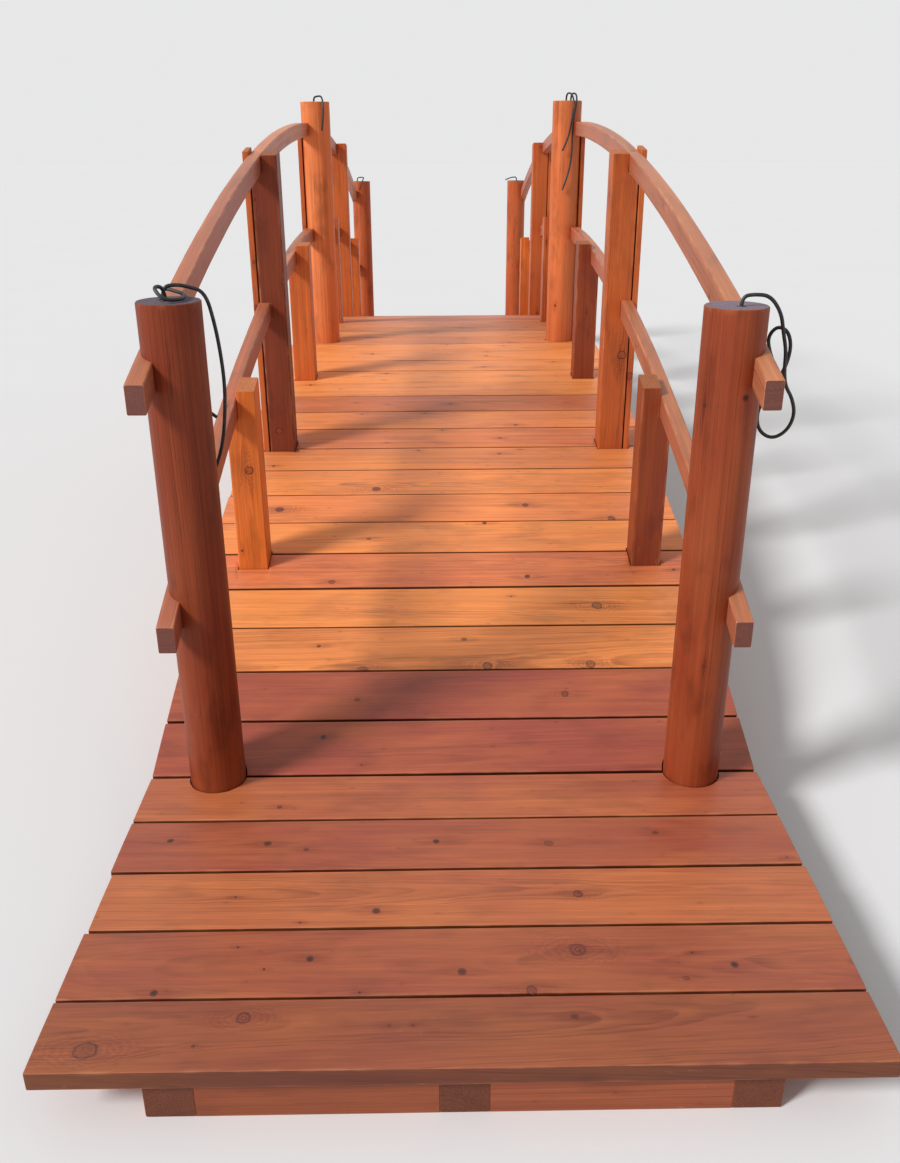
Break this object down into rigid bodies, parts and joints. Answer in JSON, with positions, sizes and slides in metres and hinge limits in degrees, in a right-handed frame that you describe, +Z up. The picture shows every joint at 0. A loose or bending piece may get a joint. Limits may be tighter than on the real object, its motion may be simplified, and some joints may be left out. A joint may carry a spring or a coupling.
{
  "type": "moon bridge",
  "caption": "Arched wooden garden footbridge with a plank deck, round posts at its ends and crown, square posts between them and curved handrails.",
  "frame": {"origin": "at ground level under the crown, halfway along and across the bridge", "axes": "+Y along the bridge in the direction of someone crossing from the near end, +X to their right, +Z up"},
  "size_m": [1.5, 8.0892, 1.7748],
  "materials": {
    "deck_boards": "satin orange-brown stain",
    "round_posts": "satin red-brown stain",
    "square_posts": "satin orange-brown stain",
    "rails": "satin orange-brown stain",
    "under_timbers": "satin brown stain",
    "cable_sheath": "matte"
  },
  "bodies": {
    "root": {"approach_boards_far": "deck_boards", "approach_boards_near": "deck_boards", "arch_board_crown": "deck_boards", "arch_boards_far": "deck_boards", "arch_boards_near": "deck_boards", "bearers_far": "under_timbers", "bearers_near": "under_timbers", "cheek_boards_left": "square_posts", "cheek_boards_right": "square_posts", "cross_braces": "under_timbers", "crown_post_left": "round_posts", "crown_post_right": "round_posts", "crown_strip_left": "square_posts", "crown_strip_right": "square_posts", "end_posts_left": "round_posts", "end_posts_right": "round_posts", "lamp_cable_crown_left": "cable_sheath", "lamp_cable_crown_right_long": "cable_sheath", "lamp_cable_crown_right_short": "cable_sheath", "lamp_cable_far_left": "cable_sheath", "lamp_cable_far_right": "cable_sheath", "lamp_cable_near_left_long": "cable_sheath", "lamp_cable_near_left_short": "cable_sheath", "lamp_cable_near_right": "cable_sheath", "lower_rail_left": "rails", "lower_rail_right": "rails", "short_posts_left": "square_posts", "short_posts_right": "square_posts", "stringer_left": "under_timbers", "stringer_middle": "under_timbers", "stringer_right": "under_timbers", "tall_posts_left": "square_posts", "tall_posts_right": "square_posts", "top_rail_left": "rails", "top_rail_right": "rails"}
  },
  "joints": []
}
